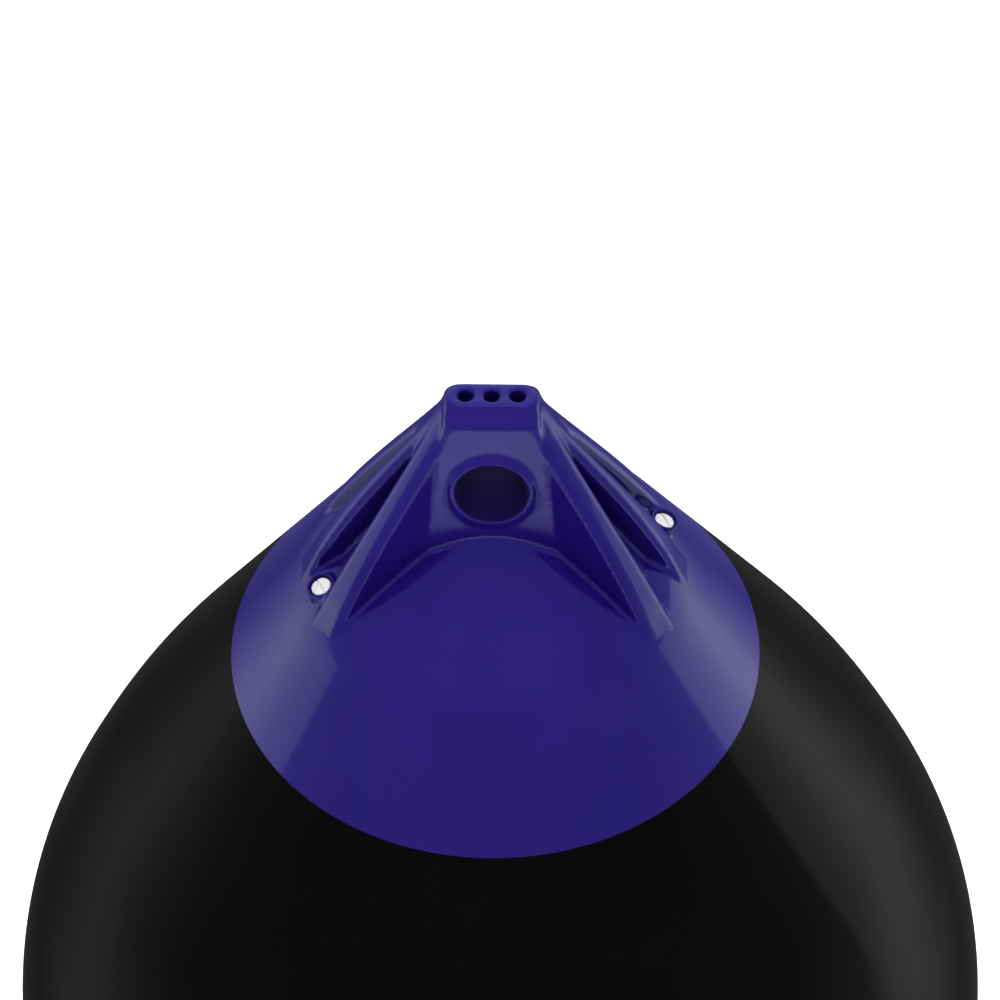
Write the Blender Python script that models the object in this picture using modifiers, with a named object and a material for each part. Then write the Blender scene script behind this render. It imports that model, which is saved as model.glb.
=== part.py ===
"""Inflatable mooring buoy: a sealed pear-shaped body under a moulded rope hold.

The rope hold is one thick moulding. Its cap is let into the body's crown, flush with
the outside, and carries a tower with the rope eye, six webs that fan out from the
tower's head, and two valve bosses. Metres, +Z up, origin under the middle of the body.
"""
import math

import bmesh
import bpy
from mathutils import Matrix, Vector

# Body: its greatest diameter, and how far its lowest point lies below that
BODY_DIAMETER = 0.686
BOTTOM_DEPTH = 0.2986

# Outside of the body above its widest level, as the lean of the wall from vertical
SPHERE_LEAN = math.radians(24.4)
CONE_LEAN = math.radians(32.84)
SHOULDER_ARC = 0.134
CROWN_RADIUS = 0.133
CROWN_FLAT_RADIUS = 0.092
CROWN_LEAN = math.radians(61.0)
APEX_RADIUS = 0.040

# Cap of the rope hold, let into the crown
CAP_RADIUS = 0.172
CAP_WALL = 0.005
FIT_GAP = 0.0003

# Head, on top of the tower
HEAD_RISE = 0.097
HEAD_WIDTH = 0.059
HEAD_THICKNESS = 0.0235
HEAD_CORNER = 0.0095
HEAD_EDGE = 0.0022
HEAD_DROP = 0.018
HEAD_FILLET = 0.008
HOLE_DIAMETER = 0.0106
HOLE_PITCH = 0.0158
HOLE_DEPTH = 0.014

# Tower under the head, and the draft of its faces from vertical
TOWER_WIDTH = 0.0610
TOWER_THICKNESS = 0.038
TOWER_SIDE_DRAFT = math.radians(7.2)
TOWER_FACE_DRAFT = math.radians(6.3)
TOWER_CORNER = 0.002

# Rope eye through the tower, with a raised collar on each face
EYE_DIAMETER = 0.044
EYE_BELOW_TOP = 0.061
COLLAR_DIAMETER = 0.053
COLLAR_CREST = 0.0465
COLLAR_HEIGHT = 0.004

# Flank of the tower between the webs
FLANK_TOP_DROP = 0.036
FLANK_SLOPE = math.radians(54.5)
FLANK_FOOT = 0.094
FLANK_FAN = math.radians(22.5)
FLANK_WAIST = 0.010

# Webs, which fan out from a point on each side of the axis
FAN_OFFSET = 0.0153
FAN_ANGLE = math.radians(30.7)
WEB_START = 0.0195
WEB_REACH = 0.1105
WEB_HEAD_DROP = 0.0165
CORNER_SWELL = 0.0045
MIDDLE_SWELL = 0.008
SWELL_PLACE = 0.65
WEB_TOP_WIDTH = 0.0098
CORNER_TOE_WIDTH = 0.0216
MIDDLE_TOE_WIDTH = 0.0132
TOE_FLARE = 2.5
SHOULDER_WIDTH = 0.004
SHOULDER_DEPTH = 0.005
WEB_DRAFT = math.radians(2.0)
WEB_DEPTH = 0.030

# Valves in the cap, one on each side
VALVE_RADIUS = 0.1110
VALVE_ANGLE = math.radians(15.1)
VALVE_TILT = math.radians(21.0)
BOSS_DIAMETER = 0.0192
BOSS_RISE = 0.0068
BOSS_EDGE = 0.0008
BOSS_FLARE = 0.0006
CUP_DIAMETER = 0.0154
SCREW_DIAMETER = 0.0128
SCREW_HEIGHT = 0.0040
SCREW_SINK = 0.0020
SCREW_DOME = 0.0012
SHANK_DIAMETER = 0.0070
SHANK_LENGTH = 0.0035
SLOT_TURN = math.radians(105.0)
SLOT_WIDTH = 0.0016
SLOT_DEPTH = 0.0018

# Fineness of the turned and lofted forms
ROUND_STEPS = 72
EYE_STEPS = 64
SMALL_STEPS = 32
WALK_STEP = 0.0005
ROW_TURN = math.radians(5.0)
ROW_ARC = 0.045
EDGE_STEPS = 3
FILLET_STEPS = 6
CORNER_STEPS = 4
WEB_STEPS = 12
DOME_STEPS = 5
MERGE_DISTANCE = 0.00001

# How far joined forms run into each other, and the spare length of the hollow's cutter
OVERLAP = 0.003
BURIED = 0.015
TOWER_BURIED = 0.080
HOLLOW_SPARE = 0.012

# Colours and gloss
VINYL_BLACK = (0.006, 0.006, 0.008, 1.0)
VINYL_VIOLET = (0.026, 0.017, 0.160, 1.0)
SCREW_WHITE = (0.82, 0.82, 0.84, 1.0)
VINYL_ROUGHNESS = 0.18
SCREW_ROUGHNESS = 0.35


def smooth(share):
    """An even ease from 0 to 1."""
    share = min(max(share, 0.0), 1.0)
    return share * share * (3.0 - 2.0 * share)


def wall_lean(arc, radius):
    """Lean of the outside wall from vertical, so far up the arc and at such a radius."""
    body_radius = BODY_DIAMETER / 2
    sphere_arc = body_radius * SPHERE_LEAN
    if arc < sphere_arc:
        return arc / body_radius
    shoulder = smooth((arc - sphere_arc) / SHOULDER_ARC)
    lean = SPHERE_LEAN + (CONE_LEAN - SPHERE_LEAN) * shoulder
    crown = smooth((CROWN_RADIUS - radius) / (CROWN_RADIUS - CROWN_FLAT_RADIUS))
    lean += (CROWN_LEAN - CONE_LEAN) * crown
    apex = smooth((APEX_RADIUS - radius) / APEX_RADIUS)
    return lean + (math.pi / 2 - CROWN_LEAN) * apex


def walk_up():
    """The outside from the widest level up to the axis: radius, height and lean."""
    points = []
    arc = 0.0
    radius = BODY_DIAMETER / 2
    height = BOTTOM_DEPTH
    while radius > WALK_STEP:
        lean = wall_lean(arc, radius)
        points.append((radius, height, lean))
        radius -= WALK_STEP * math.sin(lean)
        height += WALK_STEP * math.cos(lean)
        arc += WALK_STEP
    return points


WALL = walk_up()
CROWN_TOP = WALL[-1][1]
HEAD_TOP = CROWN_TOP + HEAD_RISE
TOWER_TOP = HEAD_TOP - HEAD_DROP
EYE_HEIGHT = HEAD_TOP - EYE_BELOW_TOP


def wall_height(radius):
    """Height of the outside at a radius of the crown."""
    for outer, inner in zip(WALL, WALL[1:]):
        if outer[0] >= radius > inner[0]:
            share = (outer[0] - radius) / (outer[0] - inner[0])
            return outer[1] + (inner[1] - outer[1]) * share
    return CROWN_TOP


def rows(points):
    """The few points of a walk that its curve needs."""
    kept = [points[0]]
    for point in points[1:-1]:
        turn = abs(point[2] - kept[-1][2])
        arc = math.dist(point[:2], kept[-1][:2])
        if turn > ROW_TURN or arc > ROW_ARC:
            kept.append(point)
    kept.append(points[-1])
    return kept


def inset(points, depth):
    """Points moved inwards, square to the wall, up to the axis."""
    moved = []
    for radius, height, lean in points:
        inner = radius - depth * math.cos(lean)
        if inner > depth:
            moved.append((inner, height - depth * math.sin(lean)))
    moved.append((0.0, CROWN_TOP - depth))
    return moved


def collection(name):
    """A new collection in the scene."""
    group = bpy.data.collections.new(name)
    bpy.context.scene.collection.children.link(group)
    return group


def material(name, colour, roughness):
    """A plain Principled material."""
    made = bpy.data.materials.new(name)
    made.use_nodes = True
    shader = made.node_tree.nodes["Principled BSDF"]
    shader.inputs["Base Color"].default_value = colour
    shader.inputs["Roughness"].default_value = roughness
    shader.inputs["Metallic"].default_value = 0.0
    return made


def add_object(name, mesh, group):
    """An object of a mesh, in a collection."""
    made = bpy.data.objects.new(name, mesh)
    group.objects.link(made)
    return made


def mesh_from(bm, name):
    """A mesh with its faces pointing out."""
    bmesh.ops.recalc_face_normals(bm, faces=bm.faces[:])
    mesh = bpy.data.meshes.new(name)
    bm.to_mesh(mesh)
    bm.free()
    return mesh


def turned(name, profile, steps, group):
    """A solid of revolution about Z: the profile runs down its outer side."""
    mesh = bpy.data.meshes.new(name)
    corners = [(radius, 0.0, height) for radius, height in profile]
    edges = [(i, i + 1) for i in range(len(corners) - 1)]
    mesh.from_pydata(corners, edges, [])
    made = add_object(name, mesh, group)
    screw = made.modifiers.new("turn", "SCREW")
    screw.axis = "Z"
    screw.angle = math.tau
    screw.steps = steps
    screw.render_steps = steps
    screw.use_merge_vertices = True
    screw.merge_threshold = MERGE_DISTANCE
    screw.use_smooth_shade = True
    return made


def loft(name, sections, group):
    """A closed solid through rings of as many points each."""
    bm = bmesh.new()
    rings = [[bm.verts.new(point) for point in section] for section in sections]
    count = len(rings[0])
    for near, far in zip(rings, rings[1:]):
        for i in range(count):
            j = (i + 1) % count
            bm.faces.new((near[i], near[j], far[j], far[i]))
    bm.faces.new(rings[0])
    bm.faces.new(rings[-1])
    return add_object(name, mesh_from(bm, name), group)


def combine(target, tool, operation):
    """Join a tool to the target, or cut it away."""
    step = target.modifiers.new(tool.name, "BOOLEAN")
    step.operation = operation
    step.solver = "EXACT"
    step.object = tool
    tool.hide_render = True
    tool.display_type = "WIRE"


def rounded_ring(half_x, half_y, corner, height):
    """A level ring: a rectangle with round corners."""
    ring = []
    for quarter in range(4):
        side_x = (1, -1, -1, 1)[quarter]
        side_y = (1, 1, -1, -1)[quarter]
        for i in range(CORNER_STEPS + 1):
            angle = math.pi / 2 * (quarter + i / CORNER_STEPS)
            x = side_x * (half_x - corner) + corner * math.cos(angle)
            y = side_y * (half_y - corner) + corner * math.sin(angle)
            ring.append((x, y, height))
    return ring


def body_profile():
    """Outline of the sealed body, with the recess that the cap lies in."""
    above = [point for point in WALL if point[0] <= CAP_RADIUS + FIT_GAP]
    below = [point for point in WALL if point[0] > CAP_RADIUS + FIT_GAP]
    under_cap = inset(rows(above), CAP_WALL + FIT_GAP)
    profile = list(reversed(under_cap))
    profile.extend(point[:2] for point in reversed(rows(below)))
    turns = round(math.pi / 2 / ROW_TURN)
    for i in range(1, turns + 1):
        angle = math.pi / 2 * i / turns
        radius = BODY_DIAMETER / 2 * math.cos(angle) if i < turns else 0.0
        profile.append((radius, BOTTOM_DEPTH * (1.0 - math.sin(angle))))
    return profile


def cap_profile():
    """Outline of the cap before it is hollowed, closed by a flat disc."""
    outside = rows([point for point in WALL if point[0] <= CAP_RADIUS])
    rim_radius, rim_height, rim_lean = outside[0]
    depth = CAP_WALL + OVERLAP
    rim_inner = rim_radius - depth * math.cos(rim_lean)
    rim_bottom = rim_height - depth * math.sin(rim_lean)
    profile = [(0.0, CROWN_TOP)]
    profile.extend(point[:2] for point in reversed(outside[:-1]))
    profile.append((rim_inner, rim_bottom))
    profile.append((0.0, rim_bottom))
    return profile


def hollow_profile():
    """Outline of the space under the cap, with spare length below its rim."""
    reach = CAP_RADIUS + HOLLOW_SPARE
    inside = inset(rows([point for point in WALL if point[0] <= reach]), CAP_WALL)
    profile = list(reversed(inside))
    profile.append((0.0, profile[-1][1]))
    return profile


def tower(group):
    """Head and tower as one loft of level rings, widening to the cap."""
    half_x = HEAD_WIDTH / 2
    half_y = HEAD_THICKNESS / 2
    rings = [rounded_ring(half_x - HEAD_EDGE, half_y - HEAD_EDGE,
                          HEAD_CORNER - HEAD_EDGE, HEAD_TOP)]
    for i in range(1, EDGE_STEPS + 1):
        angle = math.pi / 2 * i / EDGE_STEPS
        back = HEAD_EDGE * (1.0 - math.sin(angle))
        height = HEAD_TOP - HEAD_EDGE * (1.0 - math.cos(angle))
        rings.append(rounded_ring(half_x - back, half_y - back, HEAD_CORNER - back, height))
    for i in range(FILLET_STEPS):
        angle = math.pi / 2 * i / FILLET_STEPS
        share = 1.0 - math.cos(angle)
        height = TOWER_TOP + HEAD_FILLET * (1.0 - math.sin(angle))
        rings.append(rounded_ring(half_x + (TOWER_WIDTH / 2 - half_x) * share,
                                  half_y + (TOWER_THICKNESS / 2 - half_y) * share,
                                  HEAD_CORNER + (TOWER_CORNER - HEAD_CORNER) * share,
                                  height))
    for height in (TOWER_TOP, CROWN_TOP - TOWER_BURIED):
        down = TOWER_TOP - height
        rings.append(rounded_ring(TOWER_WIDTH / 2 + down * math.tan(TOWER_SIDE_DRAFT),
                                  TOWER_THICKNESS / 2 + down * math.tan(TOWER_FACE_DRAFT),
                                  TOWER_CORNER, height))
    return loft("tower", rings, group)


def flank(group):
    """The tower's sloping flanks, which show between the webs."""
    foot_height = wall_height(FLANK_FOOT)
    rings = []
    for height in (foot_height - BURIED, HEAD_TOP - FLANK_TOP_DROP):
        half_x = FLANK_FOOT - (height - foot_height) / math.tan(FLANK_SLOPE)
        half_y = half_x * math.tan(FLANK_FAN)
        rings.append([(half_x, half_y, height), (0.0, FLANK_WAIST, height),
                      (-half_x, half_y, height), (-half_x, -half_y, height),
                      (0.0, -FLANK_WAIST, height), (half_x, -half_y, height)])
    return loft("flank", rings, group)


def web_section(along, ridge, top_width, floor):
    """Section of a web across its length: drafted walls, sloping shoulders, a flat top."""
    top = top_width / 2
    side = top + SHOULDER_WIDTH
    shoulder = ridge - SHOULDER_DEPTH
    foot = side + (shoulder - floor) * math.tan(WEB_DRAFT)
    half = [(foot, floor), (side, shoulder), (top, ridge)]
    section = [(along, across, height) for across, height in half]
    section.extend((along, -across, height) for across, height in reversed(half))
    return section


def swelling(share):
    """Rise of a web's ridge over a straight line: full at one place, nothing at the ends."""
    power = SWELL_PLACE / (1.0 - SWELL_PLACE)
    full = SWELL_PLACE ** power * (1.0 - SWELL_PLACE)
    return share ** power * (1.0 - share) / full


def web(name, side, angle, group):
    """One web, from inside the head down to its toe on the cap."""
    toe = Vector((FAN_OFFSET + WEB_REACH * math.cos(angle), WEB_REACH * math.sin(angle)))
    toe_height = wall_height(toe.length)
    start_height = HEAD_TOP - WEB_HEAD_DROP
    floor = toe_height - BURIED
    swell = CORNER_SWELL if angle else MIDDLE_SWELL
    toe_width = CORNER_TOE_WIDTH if angle else MIDDLE_TOE_WIDTH
    sections = [web_section(0.0, TOWER_TOP - OVERLAP, WEB_TOP_WIDTH, floor)]
    for i in range(WEB_STEPS + 2):
        share = i / WEB_STEPS
        along = WEB_START + (WEB_REACH - WEB_START) * share
        ridge = start_height + (toe_height - start_height) * share
        ridge += swell * swelling(share)
        width = WEB_TOP_WIDTH + (toe_width - WEB_TOP_WIDTH) * share ** TOE_FLARE
        sections.append(web_section(along, ridge, width, min(floor, ridge - WEB_DEPTH)))
    made = loft(name, sections, group)
    turn = angle if side > 0 else math.pi - angle
    made.rotation_euler = (0.0, 0.0, turn)
    made.location = (side * FAN_OFFSET, 0.0, 0.0)
    return made


def collar(name, side, group):
    """The eye's raised collar on one face of the tower, square to that face."""
    spread = (COLLAR_DIAMETER - COLLAR_CREST) / 2 / COLLAR_HEIGHT
    base = COLLAR_DIAMETER / 2 + OVERLAP * spread
    profile = [(0.0, COLLAR_HEIGHT), (COLLAR_CREST / 2, COLLAR_HEIGHT), (base, -OVERLAP),
               (0.0, -OVERLAP)]
    made = turned(name, profile, EYE_STEPS, group)
    down = TOWER_TOP - EYE_HEIGHT
    face = TOWER_THICKNESS / 2 + down * math.tan(TOWER_FACE_DRAFT)
    made.location = (0.0, side * face, EYE_HEIGHT)
    made.rotation_euler = (-side * (math.pi / 2 - TOWER_FACE_DRAFT), 0.0, 0.0)
    return made


def valve_frame(side):
    """Place and tilt of a valve, with its axis leaning outwards."""
    angle = VALVE_ANGLE if side > 0 else math.pi + VALVE_ANGLE
    place = Matrix.Translation((0.0, 0.0, wall_height(VALVE_RADIUS)))
    place @= Matrix.Rotation(angle, 4, "Z")
    place @= Matrix.Translation((VALVE_RADIUS, 0.0, 0.0))
    return place @ Matrix.Rotation(VALVE_TILT, 4, "Y")


def screw_seat():
    """Height of the underside of a screw's head in its valve's frame."""
    return BOSS_RISE - SCREW_SINK - SCREW_HEIGHT


def boss_profile():
    """Outline of a valve boss, with a bevelled rim and its foot buried in the cap."""
    radius = BOSS_DIAMETER / 2
    return [(0.0, BOSS_RISE), (radius - BOSS_EDGE, BOSS_RISE),
            (radius, BOSS_RISE - BOSS_EDGE), (radius + BOSS_FLARE, -BURIED),
            (0.0, -BURIED)]


def bore_profile():
    """Outline of a boss's cup and of the bore under it for the screw's shank."""
    seat = screw_seat() - FIT_GAP
    cup = CUP_DIAMETER / 2
    shank = SHANK_DIAMETER / 2 + FIT_GAP
    return [(0.0, BOSS_RISE + OVERLAP), (cup, BOSS_RISE + OVERLAP), (cup, seat),
            (shank, seat), (shank, seat - SHANK_LENGTH), (0.0, seat - SHANK_LENGTH)]


def screw_profile():
    """Outline of a valve screw: a domed head on a short shank."""
    head = SCREW_DIAMETER / 2
    shank = SHANK_DIAMETER / 2
    seat = screw_seat()
    profile = []
    for i in range(DOME_STEPS + 1):
        angle = math.pi / 2 * i / DOME_STEPS
        drop = SCREW_DOME * (1.0 - math.cos(angle))
        profile.append((head * math.sin(angle), seat + SCREW_HEIGHT - drop))
    tip = seat - SHANK_LENGTH + FIT_GAP
    return profile + [(head, seat), (shank, seat), (shank, tip), (0.0, tip)]


def box(name, size, group):
    """A box about its own origin."""
    bm = bmesh.new()
    bmesh.ops.create_cube(bm, size=1.0)
    bmesh.ops.scale(bm, vec=size, verts=bm.verts[:])
    return add_object(name, mesh_from(bm, name), group)


def make_body(group):
    """The sealed, inflated body."""
    made = turned("body", body_profile(), ROUND_STEPS, group)
    made.data.materials.append(material("black vinyl", VINYL_BLACK, VINYL_ROUGHNESS))
    return made


def make_rope_hold(group, tools):
    """The rope hold: cap, tower, webs and bosses joined, then hollowed and bored."""
    made = turned("rope_hold", cap_profile(), ROUND_STEPS, group)
    made.data.materials.append(material("violet vinyl", VINYL_VIOLET, VINYL_ROUGHNESS))
    joined = [tower(tools), flank(tools)]
    for side, side_name in ((1, "right"), (-1, "left")):
        for angle, place in ((-FAN_ANGLE, "front"), (0.0, "middle"), (FAN_ANGLE, "back")):
            joined.append(web("web_" + place + "_" + side_name, side, angle, tools))
        boss = turned("boss_" + side_name, boss_profile(), SMALL_STEPS, tools)
        boss.matrix_world = valve_frame(side)
        joined.append(boss)
    joined.append(collar("collar_front", -1, tools))
    joined.append(collar("collar_back", 1, tools))
    for piece in joined:
        combine(made, piece, "UNION")
    for cutter in rope_hold_cutters(tools):
        combine(made, cutter, "DIFFERENCE")
    weld = made.modifiers.new("weld", "WELD")
    weld.merge_threshold = MERGE_DISTANCE
    return made


def rope_hold_cutters(tools):
    """The space under the cap, the eye, the head's holes and the valve bores."""
    cutters = [turned("hollow", hollow_profile(), ROUND_STEPS, tools)]
    reach = TOWER_THICKNESS
    radius = EYE_DIAMETER / 2
    profile = [(0.0, reach), (radius, reach), (radius, -reach), (0.0, -reach)]
    eye = turned("eye", profile, EYE_STEPS, tools)
    eye.location = (0.0, 0.0, EYE_HEIGHT)
    eye.rotation_euler = (math.pi / 2, 0.0, 0.0)
    cutters.append(eye)
    radius = HOLE_DIAMETER / 2
    profile = [(0.0, OVERLAP), (radius, OVERLAP), (radius, -HOLE_DEPTH), (0.0, -HOLE_DEPTH)]
    for place in (-1, 0, 1):
        hole = turned("hole", profile, SMALL_STEPS, tools)
        hole.location = (place * HOLE_PITCH, 0.0, HEAD_TOP)
        cutters.append(hole)
    for side in (1, -1):
        bore = turned("bore", bore_profile(), SMALL_STEPS, tools)
        bore.matrix_world = valve_frame(side)
        cutters.append(bore)
    return cutters


def make_valve_screws(group, tools):
    """The two white valve screws, each with a slot for a coin."""
    white = material("white plastic", SCREW_WHITE, SCREW_ROUGHNESS)
    for side, side_name in ((1, "right"), (-1, "left")):
        made = turned("valve_screw_" + side_name, screw_profile(), SMALL_STEPS, group)
        made.data.materials.append(white)
        made.matrix_world = valve_frame(side)
        slot = box("slot_" + side_name, (2 * SCREW_DIAMETER, SLOT_WIDTH, 2 * SLOT_DEPTH),
                   tools)
        top = Matrix.Translation((0.0, 0.0, screw_seat() + SCREW_HEIGHT))
        slot.matrix_world = valve_frame(side) @ top @ Matrix.Rotation(SLOT_TURN, 4, "Z")
        combine(made, slot, "DIFFERENCE")


def main():
    """Clear the scene and build the buoy."""
    for old in list(bpy.data.objects):
        bpy.data.objects.remove(old)
    group = collection("mooring buoy")
    tools = collection("cutters")
    make_body(group)
    make_rope_hold(group, tools)
    make_valve_screws(group, tools)


main()
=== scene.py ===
"""The dressed mooring buoy: fine meshes, vinyl and plastic materials, studio and camera."""
import math

import bmesh
import bpy
import numpy as np
from mathutils import Euler, Matrix, Vector

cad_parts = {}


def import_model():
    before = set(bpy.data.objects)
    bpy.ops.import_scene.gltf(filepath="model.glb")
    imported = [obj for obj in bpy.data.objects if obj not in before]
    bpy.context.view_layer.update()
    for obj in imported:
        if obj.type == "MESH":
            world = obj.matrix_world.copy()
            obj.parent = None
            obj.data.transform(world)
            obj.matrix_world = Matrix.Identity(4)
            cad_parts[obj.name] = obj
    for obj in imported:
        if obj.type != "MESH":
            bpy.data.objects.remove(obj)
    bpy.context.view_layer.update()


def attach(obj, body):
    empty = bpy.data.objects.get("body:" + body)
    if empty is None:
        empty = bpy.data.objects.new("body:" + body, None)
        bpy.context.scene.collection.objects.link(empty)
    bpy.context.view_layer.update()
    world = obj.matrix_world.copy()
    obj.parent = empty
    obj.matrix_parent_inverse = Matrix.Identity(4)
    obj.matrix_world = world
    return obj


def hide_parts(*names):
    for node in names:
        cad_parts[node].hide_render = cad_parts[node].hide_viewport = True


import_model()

# Body and cap, as in the solids, in metres
BODY_DIAMETER = 0.686
BOTTOM_DEPTH = 0.2986
SPHERE_LEAN = math.radians(24.4)
CONE_LEAN = math.radians(32.84)
SHOULDER_ARC = 0.134
CROWN_RADIUS = 0.133
CROWN_FLAT_RADIUS = 0.092
CROWN_LEAN = math.radians(61.0)
APEX_RADIUS = 0.040
CAP_RADIUS = 0.172
CAP_WALL = 0.005
FIT_GAP = 0.0003
RIM_GAP = 0.00005

# Head and tower
HEAD_RISE = 0.097
HEAD_WIDTH = 0.059
HEAD_THICKNESS = 0.0235
HEAD_CORNER = 0.0095
HEAD_EDGE = 0.0042
HEAD_SLOPE_DROP = 0.0102
NECK_DROP = 0.022
NECK_CORNER = 0.0070
HEAD_DROP = 0.018
HOLE_DIAMETER = 0.0098
HOLE_PITCH = 0.0158
HOLE_DEPTH = 0.014
TOWER_WIDTH = 0.0610
TOWER_THICKNESS = 0.038
TOWER_SIDE_DRAFT = math.radians(7.2)
TOWER_FACE_DRAFT = math.radians(6.3)
TOWER_CORNER = 0.0020
EYE_DIAMETER = 0.044
EYE_BELOW_TOP = 0.061
COLLAR_DIAMETER = 0.053
COLLAR_HEIGHT = 0.0042
COLLAR_FOOT = 0.0012
BEAD_POWER = 0.7

# Flanks and webs
FLANK_TOP_DROP = 0.036
FLANK_SLOPE = math.radians(54.5)
FLANK_FOOT = 0.094
FLANK_FAN = math.radians(22.5)
FLANK_WAIST = 0.0080
FAN_OFFSET = 0.0153
FAN_ANGLE = math.radians(30.7)
WEB_START = 0.0195
WEB_REACH = 0.1105
WEB_HEAD_DROP = 0.0165
CORNER_SWELL = 0.0045
MIDDLE_SWELL = 0.008
SWELL_PLACE = 0.65
CORNER_TOP_WIDTH = 0.0098
CORNER_TOE_WIDTH = 0.0216
CORNER_SHOULDER = 0.0040
MIDDLE_TOP_WIDTH = 0.0060
MIDDLE_TOE_WIDTH = 0.0240
MIDDLE_SHOULDER = 0.0030
TOE_FLARE = 2.8
TOE_EASE = 0.84
WEB_ROUND = 0.0022
TOE_SINK = 0.0013
WEB_ROOT = 0.0122
ROOT_DROP = 0.0050
SHOULDER_DEPTH = 0.005
WEB_DRAFT = math.radians(2.0)
WEB_DEPTH = 0.030
PAST_TOE = 1.0 / 12

# Valves
VALVE_RADIUS = 0.1110
VALVE_ANGLE = math.radians(15.1)
VALVE_TILT = math.radians(21.0)
BOSS_DIAMETER = 0.0192
BOSS_RISE = 0.0068
BOSS_EDGE = 0.0008
BOSS_FLARE = 0.0006
CUP_DIAMETER = 0.0154
SCREW_DIAMETER = 0.0128
SCREW_HEIGHT = 0.0040
SCREW_SINK = 0.0020
SCREW_DOME = 0.0012
SHANK_DIAMETER = 0.0070
SHANK_LENGTH = 0.0035
SLOT_TURN = math.radians(105.0)
SLOT_WIDTH = 0.0016
SLOT_DEPTH = 0.0018

# Fineness
ROUND_STEPS = 360
EYE_STEPS = 128
SMALL_STEPS = 96
WALK_STEP = 0.0005
CORNER_STEPS = 12
EDGE_STEPS = 8
WEB_STEPS = 48
BEND_STEPS = 5
BEAD_STEPS = 12
BOTTOM_STEPS = 60
DOME_STEPS = 12
OVERLAP = 0.003
BURIED = 0.015
TOWER_BURIED = 0.080
SKIRT = 0.012
VOXEL = 0.0012
GRID_TURN = (0.54, 0.40, 0.30)
SOFTENING = 13
SOFTENING_SHARE = 0.5
SNAP_FULL = 0.00012
SNAP_NONE = 0.00045
COARSE_SHARE = 0.05
FLAT_LIMIT = 0.6
SCREW_SHARP = math.radians(40.0)

# Colours of the vinyl, and the room
VIOLET_DARK = (0.0115, 0.0035, 0.128, 1.0)
VIOLET_LIGHT = (0.0155, 0.0055, 0.158, 1.0)
VIOLET_SPECK = (0.008, 0.002, 0.080, 1.0)
VIOLET_TINT = (0.50, 0.50, 1.0, 1.0)
BLACK_DARK = (0.0012, 0.0012, 0.0014, 1.0)
BLACK_LIGHT = (0.0018, 0.0018, 0.0021, 1.0)
BLACK_SPECK = (0.012, 0.012, 0.013, 1.0)
PLASTIC_SHADE = (0.64, 0.64, 0.65, 1.0)
PLASTIC_WHITE = (0.76, 0.76, 0.77, 1.0)
WHITE = (1.0, 1.0, 1.0, 1.0)
VIOLET_ROUGHNESS = 0.10
VIOLET_GLEAM = 0.22
BLACK_ROUGHNESS = 0.09
BLACK_GLEAM = 0.022
PLASTIC_ROUGHNESS = 0.35
EYE_ROUGHNESS = 0.75
EDGE_ROUGHNESS = 0.9
EDGE_DULL_FROM = 0.40
EDGE_DULL_TO = 0.75
# Reach of the painted shade that darkens the vinyl's hollows
PAINTED_SHADE_REACH = 0.03
FLOOR_HALF = 6.0
FLOOR_PALE = 0.8
FLOOR_ROUGHNESS = 0.9
FLOOR_GLOW = 0.8
ROOM_LOW = 0.01
ROOM_HIGH = 0.34
ROOM_REACH = 0.8
ROOM_SIDE = 0.5

# Lens and place of the camera
CAMERA_PLACE = (0.0, -1.6443, 2.6459)
CAMERA_TURN = math.radians(1.9)
CAMERA_DIP = math.radians(48.02)
CAMERA_ROLL = math.radians(0.84)
CAMERA_LENS = 141.6
CAMERA_SHIFT = 0.0069


def smooth(share):
    """An even ease from 0 to 1, for a number or an array."""
    share = np.clip(share, 0.0, 1.0)
    return share * share * (3.0 - 2.0 * share)


def walk_up():
    """The outside from the widest level up to the axis: radius, height and lean."""
    body_radius = BODY_DIAMETER / 2
    sphere_arc = body_radius * SPHERE_LEAN
    points = []
    arc, radius, height = 0.0, body_radius, BOTTOM_DEPTH
    while radius > WALK_STEP:
        if arc < sphere_arc:
            lean = arc / body_radius
        else:
            lean = SPHERE_LEAN
            lean += (CONE_LEAN - SPHERE_LEAN) * smooth((arc - sphere_arc) / SHOULDER_ARC)
            crown = (CROWN_RADIUS - radius) / (CROWN_RADIUS - CROWN_FLAT_RADIUS)
            lean += (CROWN_LEAN - CONE_LEAN) * smooth(crown)
            lean += (math.pi / 2 - CROWN_LEAN) * smooth((APEX_RADIUS - radius) / APEX_RADIUS)
        points.append((radius, height, float(lean)))
        radius -= WALK_STEP * math.sin(lean)
        height += WALK_STEP * math.cos(lean)
        arc += WALK_STEP
    return np.array(points)


WALL = walk_up()
CROWN_TOP = float(WALL[-1, 1])
HEAD_TOP = CROWN_TOP + HEAD_RISE
TOWER_TOP = HEAD_TOP - HEAD_DROP
EYE_HEIGHT = HEAD_TOP - EYE_BELOW_TOP


def wall_height(radius):
    """Height of the outside at a radius, for a number or an array."""
    return np.interp(radius, WALL[::-1, 0], WALL[::-1, 1])


def wall_lean(radius):
    """Lean of the outside from vertical at a radius."""
    return np.interp(radius, WALL[::-1, 0], WALL[::-1, 2])


def thinned(points, every):
    """Every so-manyth row of a walk, with its two ends."""
    kept = list(points[:-1:every])
    kept.append(points[-1])
    return kept


def inset(points, depth):
    """Points moved inwards, square to the wall, up to the axis."""
    moved = []
    for radius, height, lean in points:
        inner = radius - depth * math.cos(lean)
        if inner > depth:
            moved.append((inner, height - depth * math.sin(lean)))
    moved.append((0.0, CROWN_TOP - depth))
    return moved


def add_object(name, mesh):
    """An object of a mesh in the scene."""
    made = bpy.data.objects.new(name, mesh)
    bpy.context.scene.collection.objects.link(made)
    return made


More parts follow.
